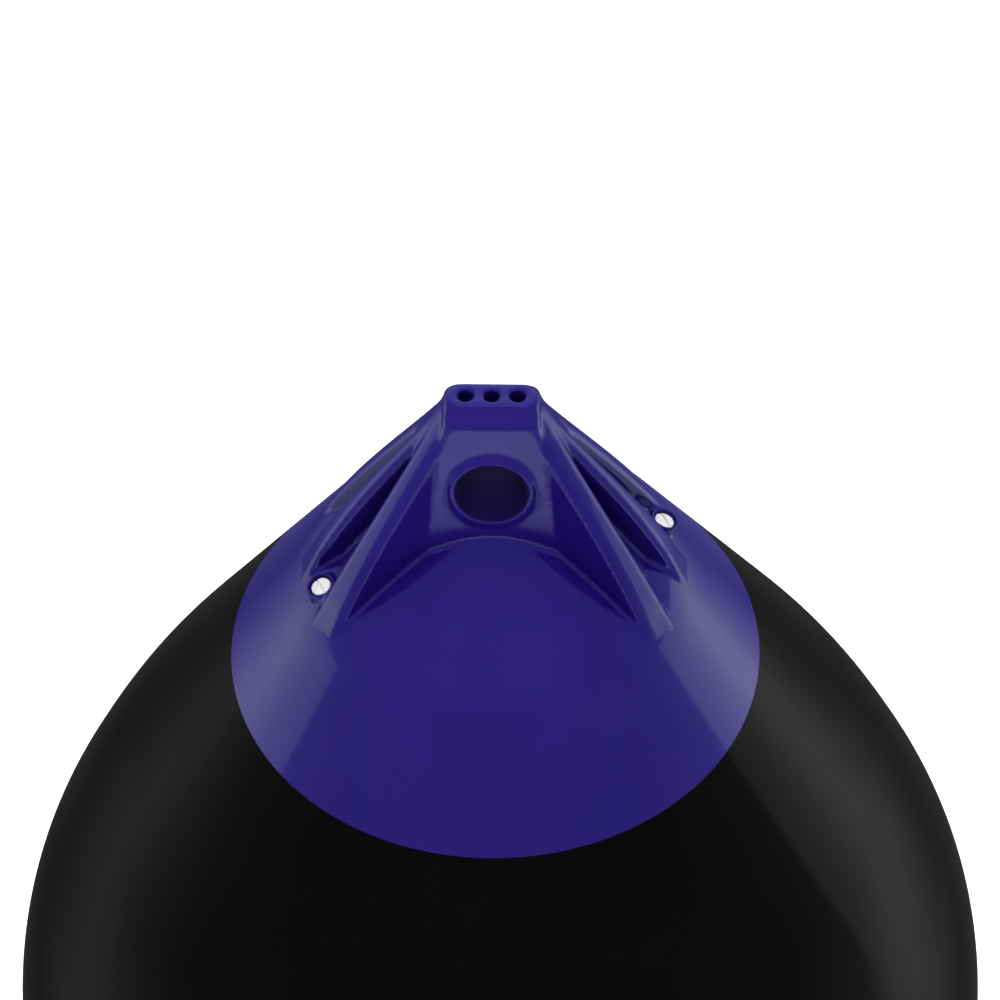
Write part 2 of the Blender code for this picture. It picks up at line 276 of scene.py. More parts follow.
def evaluated(source, name):
    """A new object of what the modifiers make of another, which goes away."""
    bpy.context.view_layer.update()
    graph = bpy.context.evaluated_depsgraph_get()
    mesh = bpy.data.meshes.new_from_object(source.evaluated_get(graph))
    mesh.transform(source.matrix_world)
    old = source.data
    bpy.data.objects.remove(source)
    if old.users == 0:
        bpy.data.meshes.remove(old)
    mesh.name = name
    return add_object(name, mesh)


def turned(name, profile, steps):
    """A closed solid of revolution about Z: the profile runs down its outer side."""
    bm = bmesh.new()
    rings = []
    for radius, height in profile:
        if radius == 0.0:
            rings.append([bm.verts.new((0.0, 0.0, height))])
            continue
        ring = []
        for i in range(steps):
            angle = math.tau * i / steps
            ring.append(bm.verts.new((radius * math.cos(angle), radius * math.sin(angle),
                                      height)))
        rings.append(ring)
    for upper, lower in zip(rings, rings[1:]):
        for i in range(steps):
            j = (i + 1) % steps
            if len(upper) == 1:
                bm.faces.new((upper[0], lower[i], lower[j]))
            elif len(lower) == 1:
                bm.faces.new((upper[i], lower[0], upper[j]))
            else:
                bm.faces.new((upper[i], lower[i], lower[j], upper[j]))
    return add_object(name, mesh_from(bm, name))


def ring_solid(name, profile, steps):
    """A closed ring of revolution about Z, of a closed profile."""
    bm = bmesh.new()
    rings = []
    for radius, height in profile:
        rings.append([bm.verts.new((radius * math.cos(math.tau * i / steps),
                                    radius * math.sin(math.tau * i / steps), height))
                      for i in range(steps)])
    for upper, lower in zip(rings, rings[1:] + rings[:1]):
        for i in range(steps):
            j = (i + 1) % steps
            bm.faces.new((upper[i], lower[i], lower[j], upper[j]))
    return add_object(name, mesh_from(bm, name))


def mesh_from(bm, name):
    """A mesh with its faces pointing out."""
    bmesh.ops.recalc_face_normals(bm, faces=bm.faces[:])
    mesh = bpy.data.meshes.new(name)
    bm.to_mesh(mesh)
    bm.free()
    return mesh


def loft(name, sections):
    """A closed solid through rings of as many points each."""
    bm = bmesh.new()
    rings = [[bm.verts.new(point) for point in section] for section in sections]
    count = len(rings[0])
    for near, far in zip(rings, rings[1:]):
        for i in range(count):
            j = (i + 1) % count
            bm.faces.new((near[i], near[j], far[j], far[i]))
    bm.faces.new(rings[0])
    bm.faces.new(rings[-1])
    bmesh.ops.triangulate(bm, faces=bm.faces[:])
    return add_object(name, mesh_from(bm, name))


def combine(target, tool, operation):
    """Join a tool to the target, or cut it away, and drop the tool."""
    step = target.modifiers.new(tool.name, "BOOLEAN")
    step.operation = operation
    step.solver = "MANIFOLD"
    step.object = tool
    name = target.name
    target.name = name + "_before"
    made = evaluated(target, name)
    mesh = tool.data
    bpy.data.objects.remove(tool)
    bpy.data.meshes.remove(mesh)
    return made


def rounded_ring(half_x, half_y, corner, height):
    """A level ring: a rectangle with round corners."""
    ring = []
    for quarter in range(4):
        side_x = (1, -1, -1, 1)[quarter]
        side_y = (1, 1, -1, -1)[quarter]
        for i in range(CORNER_STEPS + 1):
            angle = math.pi / 2 * (quarter + i / CORNER_STEPS)
            ring.append((side_x * (half_x - corner) + corner * math.cos(angle),
                         side_y * (half_y - corner) + corner * math.sin(angle), height))
    return ring


def tower():
    """Head and tower as one loft of level rings, widening to the cap."""
    half_x = HEAD_WIDTH / 2
    half_y = HEAD_THICKNESS / 2
    rings = []
    for i in range(EDGE_STEPS + 1):
        angle = math.pi / 2 * i / EDGE_STEPS
        back = HEAD_EDGE * (1.0 - math.sin(angle))
        height = HEAD_TOP - HEAD_EDGE * (1.0 - math.cos(angle))
        rings.append(rounded_ring(half_x - back, half_y - back, HEAD_CORNER - back, height))
    for height, corner in ((HEAD_TOP - HEAD_SLOPE_DROP, NECK_CORNER),
                           (HEAD_TOP - NECK_DROP, TOWER_CORNER),
                           (CROWN_TOP - TOWER_BURIED, TOWER_CORNER)):
        down = TOWER_TOP - height
        rings.append(rounded_ring(TOWER_WIDTH / 2 + down * math.tan(TOWER_SIDE_DRAFT),
                                  TOWER_THICKNESS / 2 + down * math.tan(TOWER_FACE_DRAFT),
                                  corner, height))
    return loft("tower", rings)


def flank():
    """The tower's sloping flanks, which show between the webs."""
    foot_height = float(wall_height(FLANK_FOOT))
    rings = []
    for height in (foot_height - BURIED, HEAD_TOP - FLANK_TOP_DROP):
        half_x = FLANK_FOOT - (height - foot_height) / math.tan(FLANK_SLOPE)
        half_y = half_x * math.tan(FLANK_FAN)
        rings.append([(half_x, half_y, height), (0.0, FLANK_WAIST, height),
                      (-half_x, half_y, height), (-half_x, -half_y, height),
                      (0.0, -FLANK_WAIST, height), (half_x, -half_y, height)])
    return loft("flank", rings)


def bent(before, corner, after):
    """Points round a corner between two others, on an even curve."""
    before, corner, after = Vector(before), Vector(corner), Vector(after)
    near = corner + (before - corner).normalized() * WEB_ROUND
    far = corner + (after - corner).normalized() * WEB_ROUND
    points = []
    for i in range(BEND_STEPS + 1):
        share = i / BEND_STEPS
        points.append(near.lerp(corner, share).lerp(corner.lerp(far, share), share))
    return [(point.x, point.y) for point in points]


def web_section(along, ridge, top_width, shoulder_width, floor):
    """Section of a web across its length: drafted walls, sloping shoulders, a flat top."""
    top = top_width / 2
    side = top + shoulder_width
    shoulder = ridge - SHOULDER_DEPTH
    foot = side + (shoulder - floor) * math.tan(WEB_DRAFT)
    half = [(foot, floor)]
    half += bent((foot, floor), (side, shoulder), (top, ridge))
    half += bent((side, shoulder), (top, ridge), (0.0, ridge))
    section = [(along, across, height) for across, height in half]
    section.extend((along, -across, height) for across, height in reversed(half))
    return section


def web_ridge(share, swell, toe_height, wall):
    """Height of a web's ridge at a share of the way to its toe, eased onto the wall."""
    power = SWELL_PLACE / (1.0 - SWELL_PLACE)
    full = SWELL_PLACE ** power * (1.0 - SWELL_PLACE)
    start_height = HEAD_TOP - WEB_HEAD_DROP
    straight = start_height + (toe_height - start_height) * share
    ridge = straight + swell * share ** power * (1.0 - share) / full
    ease = float(smooth((share - TOE_EASE) / (1.0 + PAST_TOE - TOE_EASE)))
    return ridge + (wall - TOE_SINK - ridge) * ease


def web(name, side, angle):
    """One web, from inside the head down to its toe on the cap."""
    toe = Vector((FAN_OFFSET + WEB_REACH * math.cos(angle), WEB_REACH * math.sin(angle)))
    toe_height = float(wall_height(toe.length))
    floor = toe_height - BURIED
    swell = CORNER_SWELL if angle else MIDDLE_SWELL
    top_width = CORNER_TOP_WIDTH if angle else MIDDLE_TOP_WIDTH
    toe_width = CORNER_TOE_WIDTH if angle else MIDDLE_TOE_WIDTH
    shoulder = CORNER_SHOULDER if angle else MIDDLE_SHOULDER
    sections = [web_section(along, HEAD_TOP - ROOT_DROP, top_width, shoulder, floor)
                for along in (0.0, WEB_ROOT)]
    past_toe = round(WEB_STEPS * PAST_TOE)
    for i in range(WEB_STEPS + past_toe + 1):
        share = i / WEB_STEPS
        along = WEB_START + (WEB_REACH - WEB_START) * share
        place = Vector((FAN_OFFSET + along * math.cos(angle), along * math.sin(angle)))
        ridge = web_ridge(share, swell, toe_height, float(wall_height(place.length)))
        width = top_width + (toe_width - top_width) * share ** TOE_FLARE
        sections.append(web_section(along, ridge, width, shoulder,
                                    min(floor, ridge - WEB_DEPTH)))
    made = loft(name, sections)
    turn = angle if side > 0 else math.pi - angle
    made.matrix_world = (Matrix.Translation((side * FAN_OFFSET, 0.0, 0.0))
                         @ Matrix.Rotation(turn, 4, "Z"))
    return made


def collar(name, side):
    """The eye's raised bead on one face of the tower, square to that face."""
    inner = EYE_DIAMETER / 2
    outer = COLLAR_DIAMETER / 2
    profile = [(0.0, 0.0)]
    for i in range(BEAD_STEPS):
        angle = math.pi * i / BEAD_STEPS
        profile.append(((inner + outer) / 2 - (outer - inner) / 2 * math.cos(angle),
                        COLLAR_HEIGHT * math.sin(angle) ** BEAD_POWER))
    profile += [(outer + COLLAR_FOOT / 4, COLLAR_FOOT / 4), (outer + COLLAR_FOOT, 0.0),
                (outer + COLLAR_FOOT, -OVERLAP), (0.0, -OVERLAP)]
    made = turned(name, profile, EYE_STEPS)
    down = TOWER_TOP - EYE_HEIGHT
    face = TOWER_THICKNESS / 2 + down * math.tan(TOWER_FACE_DRAFT)
    made.matrix_world = (Matrix.Translation((0.0, side * face, EYE_HEIGHT))
                         @ Matrix.Rotation(-side * (math.pi / 2 - TOWER_FACE_DRAFT), 4, "X"))
    return made


def valve_frame(side):
    """Place and tilt of a valve, with its axis leaning outwards."""
    angle = VALVE_ANGLE if side > 0 else math.pi + VALVE_ANGLE
    place = Matrix.Translation((0.0, 0.0, float(wall_height(VALVE_RADIUS))))
    place @= Matrix.Rotation(angle, 4, "Z")
    place @= Matrix.Translation((VALVE_RADIUS, 0.0, 0.0))
    return place @ Matrix.Rotation(VALVE_TILT, 4, "Y")


SCREW_SEAT = BOSS_RISE - SCREW_SINK - SCREW_HEIGHT


def boss(name, side):
    """A valve boss with a bevelled rim and its foot buried in the cap."""
    radius = BOSS_DIAMETER / 2
    made = turned(name, [(0.0, BOSS_RISE), (radius - BOSS_EDGE, BOSS_RISE),
                         (radius, BOSS_RISE - BOSS_EDGE), (radius + BOSS_FLARE, -BURIED),
                         (0.0, -BURIED)], SMALL_STEPS)
    made.matrix_world = valve_frame(side)
    return made


def bore(side):
    """Cutter of a boss's cup and of the bore under it for the screw's shank."""
    seat = SCREW_SEAT - FIT_GAP
    cup = CUP_DIAMETER / 2
    shank = SHANK_DIAMETER / 2 + FIT_GAP
    made = turned("bore", [(0.0, BOSS_RISE + OVERLAP), (cup, BOSS_RISE + OVERLAP),
                           (cup, seat), (shank, seat), (shank, seat - SHANK_LENGTH),
                           (0.0, seat - SHANK_LENGTH)], SMALL_STEPS)
    made.matrix_world = valve_frame(side)
    return made


def cutters():
    """The eye, the head's holes and the valve bores."""
    reach = TOWER_THICKNESS
    radius = EYE_DIAMETER / 2
    eye = turned("eye", [(0.0, reach), (radius, reach), (radius, -reach), (0.0, -reach)],
                 EYE_STEPS)
    eye.matrix_world = (Matrix.Translation((0.0, 0.0, EYE_HEIGHT))
                        @ Matrix.Rotation(math.pi / 2, 4, "X"))
    made = [eye]
    radius = HOLE_DIAMETER / 2
    for place in (-1, 0, 1):
        hole = turned("hole", [(0.0, OVERLAP), (radius, OVERLAP), (radius, -HOLE_DEPTH),
                               (0.0, -HOLE_DEPTH)], SMALL_STEPS)
        hole.matrix_world = Matrix.Translation((place * HOLE_PITCH, 0.0, HEAD_TOP))
        made.append(hole)
    return made + [bore(1), bore(-1)]


def wide_cap():
    """The cap with a spare skirt past its rim."""
    reach = CAP_RADIUS + SKIRT
    outside = thinned([p for p in WALL if p[0] <= reach], 4)
    inside = inset(outside, CAP_WALL)
    profile = [(0.0, CROWN_TOP)]
    profile.extend((p[0], p[1]) for p in reversed(outside[:-1]))
    profile.extend(inside)
    return turned("rope_hold", profile, ROUND_STEPS)


def rope_hold_solid():
    """The rope hold as crisp forms joined and cut, with the cap still too wide."""
    made = wide_cap()
    joined = [tower(), flank()]
    for side, side_name in ((1, "right"), (-1, "left")):
        for angle, place in ((-FAN_ANGLE, "front"), (0.0, "middle"), (FAN_ANGLE, "back")):
            joined.append(web("web_" + place + "_" + side_name, side, angle))
        joined.append(boss("boss_" + side_name, side))
    joined.append(collar("collar_front", -1))
    joined.append(collar("collar_back", 1))
    for piece in joined:
        made = combine(made, piece, "UNION")
    reach = CAP_RADIUS + 2 * SKIRT
    hollow = inset(thinned([p for p in WALL if p[0] <= reach], 4), CAP_WALL)
    profile = list(reversed(hollow))
    profile.append((0.0, profile[-1][1]))
    made = combine(made, turned("hollow", profile, ROUND_STEPS), "DIFFERENCE")
    for cutter in cutters():
        made = combine(made, cutter, "DIFFERENCE")
    return made


def cap_distance(points):
    """Signed distance of points from the smooth outside of body and cap."""
    radius = np.hypot(points[:, 0], points[:, 1])
    return (points[:, 2] - wall_height(radius)) * np.sin(wall_lean(radius))


def outward(points):
    """Directions square to the smooth outside, at points on it."""
    radius = np.hypot(points[:, 0], points[:, 1])
    lean = wall_lean(radius)
    safe = np.maximum(radius, 1e-9)
    across = np.cos(lean) / safe
    return np.column_stack((points[:, 0] * across, points[:, 1] * across, np.sin(lean)))


def coordinates(mesh):
    """The mesh's points as an array."""
    points = np.empty(len(mesh.vertices) * 3)
    mesh.vertices.foreach_get("co", points)
    return points.reshape(-1, 3)


def put_coordinates(mesh, points):
    """Write an array of points back to the mesh."""
    mesh.vertices.foreach_set("co", points.astype(np.float32).ravel())
    mesh.update()


def softened(points, edges, rounds):
    """Points eased towards their neighbours, as moulded corners are."""
    count = len(points)
    ends = np.concatenate((edges[:, 0], edges[:, 1]))
    others = np.concatenate((edges[:, 1], edges[:, 0]))
    links = np.bincount(ends, minlength=count)
    for _ in range(rounds):
        mean = np.column_stack([np.bincount(ends, weights=points[others, axis],
                                            minlength=count) / links for axis in range(3)])
        points = points + (mean - points) * SOFTENING_SHARE
    return points


def snapped(points):
    """Points near the smooth outside, laid onto it."""
    distance = cap_distance(points)
    share = smooth((np.abs(distance) - SNAP_FULL) / (SNAP_NONE - SNAP_FULL))
    return points + outward(points) * (distance * (share - 1.0))[:, None]


def moulded(source):
    """The rope hold with soft moulded edges: a fine even mesh, eased and laid on the cap."""
    turn = Euler(GRID_TURN).to_matrix().to_4x4()
    source.data.transform(turn)
    step = source.modifiers.new("even", "REMESH")
    step.mode = "VOXEL"
    step.voxel_size = VOXEL
    source.name = "rope_hold_crisp"
    made = evaluated(source, "rope_hold")
    mesh = made.data
    mesh.transform(turn.inverted())
    edges = np.empty(len(mesh.edges) * 2, dtype=np.int64)
    mesh.edges.foreach_get("vertices", edges)
    points = snapped(softened(coordinates(mesh), edges.reshape(-1, 2), SOFTENING))
    put_coordinates(mesh, points)
    distance = cap_distance(points)
    inside = distance < -(CAP_WALL - FIT_GAP)
    plain = np.abs(distance) < SNAP_FULL / 4
    coarse = made.vertex_groups.new(name="coarse")
    coarse.add([int(i) for i in np.flatnonzero(inside | plain)], 1.0, "REPLACE")
    total = len(points)
    chosen = int(np.count_nonzero(inside | plain))
    thin = made.modifiers.new("coarse", "DECIMATE")
    thin.vertex_group = "coarse"
    thin.vertex_group_factor = 1.0
    thin.ratio = (total - chosen * (1.0 - COARSE_SHARE)) / total
    made.name = "rope_hold_even"
    made = evaluated(made, "rope_hold")
    put_coordinates(made.data, snapped(coordinates(made.data)))
    return made


def trimmed(made):
    """The rope hold with its spare skirt cut off in a crisp, square rim."""
    lean = float(wall_lean(CAP_RADIUS))
    height = float(wall_height(CAP_RADIUS))
    reach = 2 * SKIRT
    inner = (CAP_RADIUS - reach * math.cos(lean), height - reach * math.sin(lean))
    outer = (CAP_RADIUS + reach * math.cos(lean), height + reach * math.sin(lean))
    far = CAP_RADIUS + 3 * SKIRT
    profile = [outer, inner, (inner[0], inner[1] - 2 * SKIRT), (far, inner[1] - 2 * SKIRT),
               (far, outer[1])]
    return combine(made, ring_solid("rim", profile, ROUND_STEPS), "DIFFERENCE")


def shade(made):
    """Smooth shading, exact where the piece lies on the smooth outside."""
    mesh = made.data
    mesh.shade_smooth()
    points = coordinates(mesh)
    normals = np.empty(len(mesh.vertices) * 3)
    mesh.vertices.foreach_get("normal", normals)
    normals = normals.reshape(-1, 3)
    distance = cap_distance(points)
    on_wall = np.abs(distance) < SNAP_FULL / 4
    normals = np.where(on_wall[:, None], outward(points), normals)
    corners = np.empty(len(mesh.loops), dtype=np.int64)
    mesh.loops.foreach_get("vertex_index", corners)
    starts = np.empty(len(mesh.polygons), dtype=np.int64)
    sizes = np.empty(len(mesh.polygons), dtype=np.int64)
    faces = np.empty(len(mesh.polygons) * 3)
    mesh.polygons.foreach_get("loop_start", starts)
    mesh.polygons.foreach_get("loop_total", sizes)
    mesh.polygons.foreach_get("normal", faces)
    faces = np.repeat(faces.reshape(-1, 3), sizes, axis=0)
    split = normals[corners]
    length = np.linalg.norm(split, axis=1)
    split = split / np.maximum(length, 1e-9)[:, None]
    flat = np.einsum("ij,ij->i", split, faces) < FLAT_LIMIT
    flat &= np.hypot(points[:, 0], points[:, 1])[corners] > CAP_RADIUS - 2 * CAP_WALL
    split[flat] = faces[flat]
    mesh.normals_split_custom_set([tuple(n) for n in split])


def body_piece():
    """The sealed body as a fine turned form, with the recess that the cap lies in."""
    edge = CAP_RADIUS + RIM_GAP
    rim = (edge, float(wall_height(edge)), float(wall_lean(edge)))
    above = [rim] + thinned([p for p in WALL if p[0] < CAP_RADIUS - WALK_STEP], 8)
    below = thinned([p for p in WALL if p[0] > edge + WALK_STEP], 6) + [rim]
    profile = list(reversed(inset(above, CAP_WALL + FIT_GAP)))
    profile.extend((p[0], p[1]) for p in reversed(below))
    for i in range(1, BOTTOM_STEPS + 1):
        angle = math.pi / 2 * i / BOTTOM_STEPS
        radius = BODY_DIAMETER / 2 * math.cos(angle) if i < BOTTOM_STEPS else 0.0
        profile.append((radius, BOTTOM_DEPTH * (1.0 - math.sin(angle))))
    return turned("buoy_body", profile, ROUND_STEPS)


def screw_piece(name, side):
    """A valve screw: a domed, slotted head with soft edges on a short shank."""
    head = SCREW_DIAMETER / 2
    shank = SHANK_DIAMETER / 2
    profile = []
    for i in range(DOME_STEPS + 1):
        angle = math.pi / 2 * i / DOME_STEPS
        drop = SCREW_DOME * (1.0 - math.cos(angle))
        profile.append((head * math.sin(angle), SCREW_SEAT + SCREW_HEIGHT - drop))
    tip = SCREW_SEAT - SHANK_LENGTH + FIT_GAP
    profile += [(head, SCREW_SEAT), (shank, SCREW_SEAT), (shank, tip), (0.0, tip)]
    made = turned(name, profile, SMALL_STEPS)
    made.matrix_world = valve_frame(side)
    bm = bmesh.new()
    bmesh.ops.create_cube(bm, size=1.0)
    bmesh.ops.scale(bm, vec=(2 * SCREW_DIAMETER, SLOT_WIDTH, 2 * SLOT_DEPTH),
                    verts=bm.verts[:])
    slot = add_object("slot", mesh_from(bm, "slot"))
    top = Matrix.Translation((0.0, 0.0, SCREW_SEAT + SCREW_HEIGHT))
    slot.matrix_world = valve_frame(side) @ top @ Matrix.Rotation(SLOT_TURN, 4, "Z")
    made = combine(made, slot, "DIFFERENCE")
    made.data.shade_smooth()
    made.data.set_sharp_from_angle(angle=SCREW_SHARP)
    return made


def shader(name, roughness):
    """A new Principled material, with its node tree and shader."""
    made = bpy.data.materials.new(name)
    made.use_nodes = True
    tree = made.node_tree
    principled = tree.nodes["Principled BSDF"]
    principled.inputs["Roughness"].default_value = roughness
    principled.inputs["Metallic"].default_value = 0.0
    return made, tree, principled


def noise(tree, scale, detail):
    """Noise in the object's own space, in metres."""
    place = tree.nodes.new("ShaderNodeTexCoord")
    made = tree.nodes.new("ShaderNodeTexNoise")
    made.inputs["Scale"].default_value = scale
    made.inputs["Detail"].default_value = detail
    tree.links.new(place.outputs["Object"], made.inputs["Vector"])
    return made


def ramp(tree, source, stops):
    """A colour ramp fed by a value."""
    made = tree.nodes.new("ShaderNodeValToRGB")
    elements = made.color_ramp.elements
    while len(elements) < len(stops):
        elements.new(0.5)
    for element, (place, colour) in zip(elements, stops):
        element.position = place
        element.color = colour
    tree.links.new(source, made.inputs["Fac"])
    return made


def grey(value):
    """A grey as a colour."""
    return (value, value, value, 1.0)


def bump(tree, source, strength, distance, before=None):
    """A bump from a height, over an earlier bump."""
    made = tree.nodes.new("ShaderNodeBump")
    made.inputs["Strength"].default_value = strength
    made.inputs["Distance"].default_value = distance
    tree.links.new(source, made.inputs["Height"])
    if before is not None:
        tree.links.new(before.outputs["Normal"], made.inputs["Normal"])
    return made


def in_eye(tree):
    """How far a point lies in the rope eye, where the vinyl is dull and its colour is
    darkened as painted shade.
    """
    place = tree.nodes.new("ShaderNodeTexCoord")
    split = tree.nodes.new("ShaderNodeSeparateXYZ")
    tree.links.new(place.outputs["Object"], split.inputs["Vector"])
    level = tree.nodes.new("ShaderNodeMath")
    level.operation = "SUBTRACT"
    level.inputs[1].default_value = EYE_HEIGHT
    tree.links.new(split.outputs["Z"], level.inputs[0])
    across = tree.nodes.new("ShaderNodeCombineXYZ")
    tree.links.new(split.outputs["X"], across.inputs["X"])
    tree.links.new(level.outputs["Value"], across.inputs["Z"])
    reach = tree.nodes.new("ShaderNodeVectorMath")
    reach.operation = "LENGTH"
    tree.links.new(across.outputs["Vector"], reach.inputs["Vector"])
    made = tree.nodes.new("ShaderNodeMapRange")
    made.inputs["From Min"].default_value = EYE_DIAMETER / 2 + FIT_GAP
    made.inputs["From Max"].default_value = EYE_DIAMETER / 2 + 4 * FIT_GAP
    made.inputs["To Min"].default_value = 1.0
    made.inputs["To Max"].default_value = 0.0
    tree.links.new(reach.outputs["Value"], made.inputs["Value"])
    return made


def seen_edge_on(tree):
    """How far a surface turns edge-on, where the vinyl's gloss is dulled."""
    edge = tree.nodes.new("ShaderNodeLayerWeight")
    edge.inputs["Blend"].default_value = 0.5
    made = tree.nodes.new("ShaderNodeMapRange")
    made.inputs["From Min"].default_value = EDGE_DULL_FROM
    made.inputs["From Max"].default_value = EDGE_DULL_TO
    tree.links.new(edge.outputs["Facing"], made.inputs["Value"])
    return made


def vinyl(name, dark, light, speck, roughness, gleam, tint):
    """Glossy moulded vinyl: clouded colour, scattered specks and faint flow marks, with
    painted shade darkening the colour in hollows and inside the rope eye.
    """
    made, tree, principled = shader(name, roughness)
    principled.inputs["Specular IOR Level"].default_value = gleam
    principled.inputs["Specular Tint"].default_value = tint
    clouds = noise(tree, 9.0, 4.0)
    colour = ramp(tree, clouds.outputs["Fac"], [(0.35, dark), (0.65, light)])
    dots = noise(tree, 420.0, 2.0)
    chosen = ramp(tree, dots.outputs["Fac"], [(0.74, grey(0.0)), (0.80, grey(1.0))])
    mix = tree.nodes.new("ShaderNodeMix")
    mix.data_type = "RGBA"
    mix.inputs["B"].default_value = speck
    tree.links.new(chosen.outputs["Color"], mix.inputs["Factor"])
    tree.links.new(colour.outputs["Color"], mix.inputs["A"])
    # Painted shade: ambient occlusion darkens the base colour in hollows, pockets and holes,
    # down to 0.3.
    painted_shade_ao = tree.nodes.new("ShaderNodeAmbientOcclusion")
    painted_shade_ao.samples = 8
    painted_shade_ao.inputs["Distance"].default_value = PAINTED_SHADE_REACH
    shade = ramp(tree, painted_shade_ao.outputs["AO"], [(0.25, grey(0.3)), (0.85, grey(1.0))])
    painted_shade_multiply = tree.nodes.new("ShaderNodeMix")
    painted_shade_multiply.data_type = "RGBA"
    painted_shade_multiply.blend_type = "MULTIPLY"
    painted_shade_multiply.inputs["Factor"].default_value = 1.0
    tree.links.new(mix.outputs["Result"], painted_shade_multiply.inputs["A"])
    tree.links.new(shade.outputs["Color"], painted_shade_multiply.inputs["B"])
    # Painted shade: inside the rope eye the base colour turns to half the speck colour; the
    # same mask dulls the gloss there.
    eye_shade_and_dull = in_eye(tree)
    eye_painted_shade = tree.nodes.new("ShaderNodeMix")
    eye_painted_shade.data_type = "RGBA"
    eye_painted_shade.inputs["B"].default_value = [part * 0.5 for part in speck[:3]] + [1.0]
    tree.links.new(eye_shade_and_dull.outputs["Result"], eye_painted_shade.inputs["Factor"])
    tree.links.new(painted_shade_multiply.outputs["Result"], eye_painted_shade.inputs["A"])
    tree.links.new(eye_painted_shade.outputs["Result"], principled.inputs["Base Color"])
    haze = noise(tree, 35.0, 5.0)
    gloss = ramp(tree, haze.outputs["Fac"], [(0.3, grey(roughness * 0.8)),
                                             (0.7, grey(roughness * 1.3))])
    blend = tree.nodes.new("ShaderNodeMix")
    blend.data_type = "FLOAT"
    blend.inputs["B"].default_value = EYE_ROUGHNESS
    tree.links.new(eye_shade_and_dull.outputs["Result"], blend.inputs["Factor"])
    tree.links.new(gloss.outputs["Color"], blend.inputs["A"])
    rim = tree.nodes.new("ShaderNodeMix")
    rim.data_type = "FLOAT"
    rim.inputs["B"].default_value = EDGE_ROUGHNESS
    tree.links.new(seen_edge_on(tree).outputs["Result"], rim.inputs["Factor"])
    tree.links.new(blend.outputs["Result"], rim.inputs["A"])
    tree.links.new(rim.outputs["Result"], principled.inputs["Roughness"])
    flow = noise(tree, 22.0, 3.0)
    relief = bump(tree, flow.outputs["Fac"], 0.06, 0.002)
    grain = noise(tree, 900.0, 2.0)
    relief = bump(tree, grain.outputs["Fac"], 0.05, 0.0002, relief)
    tree.links.new(relief.outputs["Normal"], principled.inputs["Normal"])
    return made


def white_plastic():
    """White moulded plastic with a faint clouding in its tone."""
    made, tree, principled = shader("valve plastic", PLASTIC_ROUGHNESS)
    clouds = noise(tree, 260.0, 3.0)
    colour = ramp(tree, clouds.outputs["Fac"], [(0.3, PLASTIC_SHADE),
                                                (0.6, PLASTIC_WHITE)])
    tree.links.new(colour.outputs["Color"], principled.inputs["Base Color"])
    grain = noise(tree, 1500.0, 2.0)
    relief = bump(tree, grain.outputs["Fac"], 0.1, 0.0001)
    tree.links.new(relief.outputs["Normal"], principled.inputs["Normal"])
    return made


def dress(piece, finish, slot_name, *nodes):
    """Give a piece its material and its body, and hide the imported parts of the nodes that
    it stands for.
    """
    piece.data.materials.clear()
    piece.data.materials.append(finish)
    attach(piece, "root")
    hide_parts(*nodes)


def lamp(name, place, aim, size, power):
    """A soft box that points at a place."""
    data = bpy.data.lights.new(name, "AREA")
    data.shape = "RECTANGLE"
    data.size, data.size_y = size
    data.energy = power
    made = bpy.data.objects.new(name, data)
    bpy.context.scene.collection.objects.link(made)
    made.location = place
    away = Vector(place) - Vector(aim)
    made.rotation_euler = away.to_track_quat("Z", "Y").to_euler()
    return made


def background_seen(tree):
    """1 on rays that show the background: from the camera, a reflection or a lens."""
    path = tree.nodes.new("ShaderNodeLightPath")
    made = path.outputs["Is Camera Ray"]
    for name in ("Is Glossy Ray", "Is Transmission Ray"):
        either = tree.nodes.new("ShaderNodeMath")
        either.operation = "MAXIMUM"
        tree.links.new(made, either.inputs[0])
        tree.links.new(path.outputs[name], either.inputs[1])
        made = either.outputs["Value"]
    return made


def lamps(hold):
    """Soft boxes round the object. The left one lights the rope hold alone."""
    left = lamp("box left", (-1.98, 0.31, 0.50), (0.0, 0.0, 0.75), (1.35, 0.9), 5.6)
    lamp("box right", (0.87, 0.28, 0.43), (0.25, -0.05, 0.43), (0.68, 0.84), 2.9)
    lamp("strip top", (0.0, 0.08, 2.6), (0.0, 0.08, 0.8), (1.3, 0.50), 6.0)
    lamp("card front", (0.0, -1.467, 0.02), (0.0, -1.467, 1.0), (1.2, 0.6), 5.2)
    lamp("box back", (0.0, 1.5, 2.45), (0.0, 0.0, 0.8), (3.2, 1.9), 21.0)
    fill = lamp("fill", (0.0, -1.6, 3.2), (0.0, 0.0, 0.7), (3.0, 3.0), 80.0)
    fill.visible_glossy = False
    only = bpy.data.collections.new("lit by the left box")
    only.objects.link(hold)
    left.light_linking.receiver_collection = only


def floor():
    """A plain pale floor, white in the picture and in reflections."""
    bm = bmesh.new()
    bmesh.ops.create_grid(bm, x_segments=1, y_segments=1, size=FLOOR_HALF)
    made = add_object("floor", mesh_from(bm, "floor"))
    finish, tree, principled = shader("floor", FLOOR_ROUGHNESS)
    principled.inputs["Base Color"].default_value = grey(FLOOR_PALE)
    glow = tree.nodes.new("ShaderNodeEmission")
    level = tree.nodes.new("ShaderNodeMath")
    level.operation = "MULTIPLY"
    level.inputs[1].default_value = FLOOR_GLOW
    tree.links.new(background_seen(tree), level.inputs[0])
    tree.links.new(level.outputs["Value"], glow.inputs["Strength"])
    both = tree.nodes.new("ShaderNodeAddShader")
    tree.links.new(principled.outputs["BSDF"], both.inputs[0])
    tree.links.new(glow.outputs["Emission"], both.inputs[1])
    tree.links.new(both.outputs["Shader"], tree.nodes["Material Output"].inputs["Surface"])
    made.data.materials.append(finish)


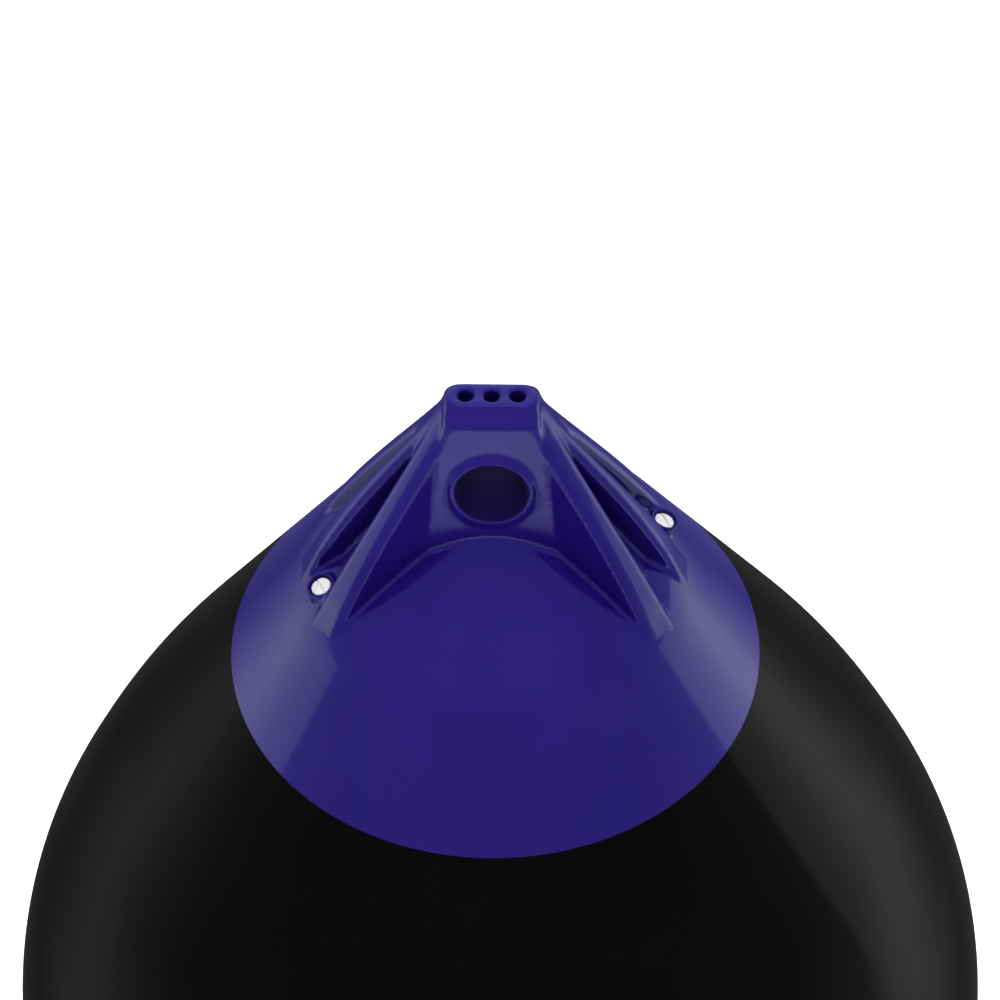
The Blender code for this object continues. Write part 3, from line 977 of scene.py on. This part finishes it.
def world():
    """Dim room light, with a background that is white in the picture and in reflections."""
    made = bpy.data.worlds.new("room")
    bpy.context.scene.world = made
    made.use_nodes = True
    tree = made.node_tree
    room = tree.nodes["Background"]
    room.inputs["Color"].default_value = WHITE
    place = tree.nodes.new("ShaderNodeTexCoord")
    split = tree.nodes.new("ShaderNodeSeparateXYZ")
    level = tree.nodes.new("ShaderNodeMapRange")
    level.inputs["From Min"].default_value = 0.0
    level.inputs["From Max"].default_value = ROOM_REACH
    level.inputs["To Min"].default_value = ROOM_LOW
    level.inputs["To Max"].default_value = ROOM_HIGH
    tree.links.new(place.outputs["Generated"], split.inputs["Vector"])
    side = tree.nodes.new("ShaderNodeMath")
    side.operation = "MAXIMUM"
    side.inputs[1].default_value = 0.0
    lean = tree.nodes.new("ShaderNodeMath")
    lean.operation = "MULTIPLY_ADD"
    lean.inputs[1].default_value = ROOM_SIDE
    tree.links.new(split.outputs["X"], side.inputs[0])
    tree.links.new(side.outputs["Value"], lean.inputs[0])
    tree.links.new(split.outputs["Z"], lean.inputs[2])
    tree.links.new(lean.outputs["Value"], level.inputs["Value"])
    tree.links.new(level.outputs["Result"], room.inputs["Strength"])
    white = tree.nodes.new("ShaderNodeBackground")
    white.inputs["Color"].default_value = WHITE
    white.inputs["Strength"].default_value = 1.0
    mix = tree.nodes.new("ShaderNodeMixShader")
    tree.links.new(background_seen(tree), mix.inputs["Fac"])
    tree.links.new(room.outputs["Background"], mix.inputs[1])
    tree.links.new(white.outputs["Background"], mix.inputs[2])
    tree.links.new(mix.outputs["Shader"], tree.nodes["World Output"].inputs["Surface"])


def camera():
    """The camera, above the front and dipped towards the rope hold."""
    data = bpy.data.cameras.new("camera")
    data.lens = CAMERA_LENS
    data.shift_x = CAMERA_SHIFT
    made = bpy.data.objects.new("camera", data)
    bpy.context.scene.collection.objects.link(made)
    made.matrix_world = (Matrix.Rotation(CAMERA_TURN, 4, "Z")
                         @ Matrix.Translation(CAMERA_PLACE)
                         @ Matrix.Rotation(math.pi / 2 - CAMERA_DIP, 4, "X")
                         @ Matrix.Rotation(-CAMERA_ROLL, 4, "Z"))
    bpy.context.scene.camera = made


def main():
    """Build and dress the pieces, then light and frame them."""
    hold = trimmed(moulded(rope_hold_solid()))
    shade(hold)
    violet = vinyl("rope hold vinyl", VIOLET_DARK, VIOLET_LIGHT, VIOLET_SPECK,
                   VIOLET_ROUGHNESS, VIOLET_GLEAM, VIOLET_TINT)
    dress(hold, violet, "rope_hold_vinyl", "rope_hold")
    body = body_piece()
    shade(body)
    black = vinyl("body vinyl", BLACK_DARK, BLACK_LIGHT, BLACK_SPECK,
                  BLACK_ROUGHNESS, BLACK_GLEAM, WHITE)
    dress(body, black, "body_vinyl", "body")
    white = white_plastic()
    for side, side_name in ((1, "right"), (-1, "left")):
        screw = screw_piece("screw_" + side_name, side)
        dress(screw, white, "valve_plastic", "valve_screw_" + side_name)
    floor()
    world()
    lamps(hold)
    camera()
    view = bpy.context.scene.view_settings
    view.view_transform = "Standard"


main()
